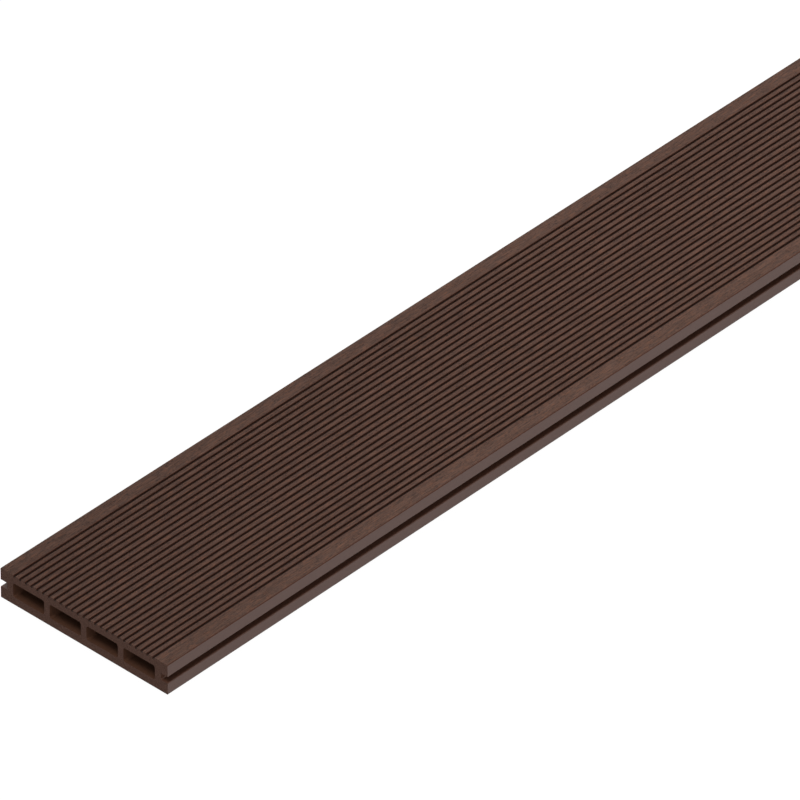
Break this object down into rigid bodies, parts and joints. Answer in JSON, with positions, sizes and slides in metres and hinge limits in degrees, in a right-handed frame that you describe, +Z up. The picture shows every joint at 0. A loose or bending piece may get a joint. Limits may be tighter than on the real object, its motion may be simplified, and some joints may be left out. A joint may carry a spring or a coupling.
{
  "type": "decking board",
  "caption": "Hollow extruded wood-plastic composite decking board with a ribbed deck face and a clip slot in each side.",
  "frame": {"origin": "on the underside, at the middle of the width and of the length", "axes": "+X across the board, +Y along it, +Z up through the ribbed deck face"},
  "size_m": [0.15, 2.2, 0.024],
  "materials": {
    "composite": "matte"
  },
  "bodies": {
    "root": {"decking_board": "composite"}
  },
  "joints": []
}
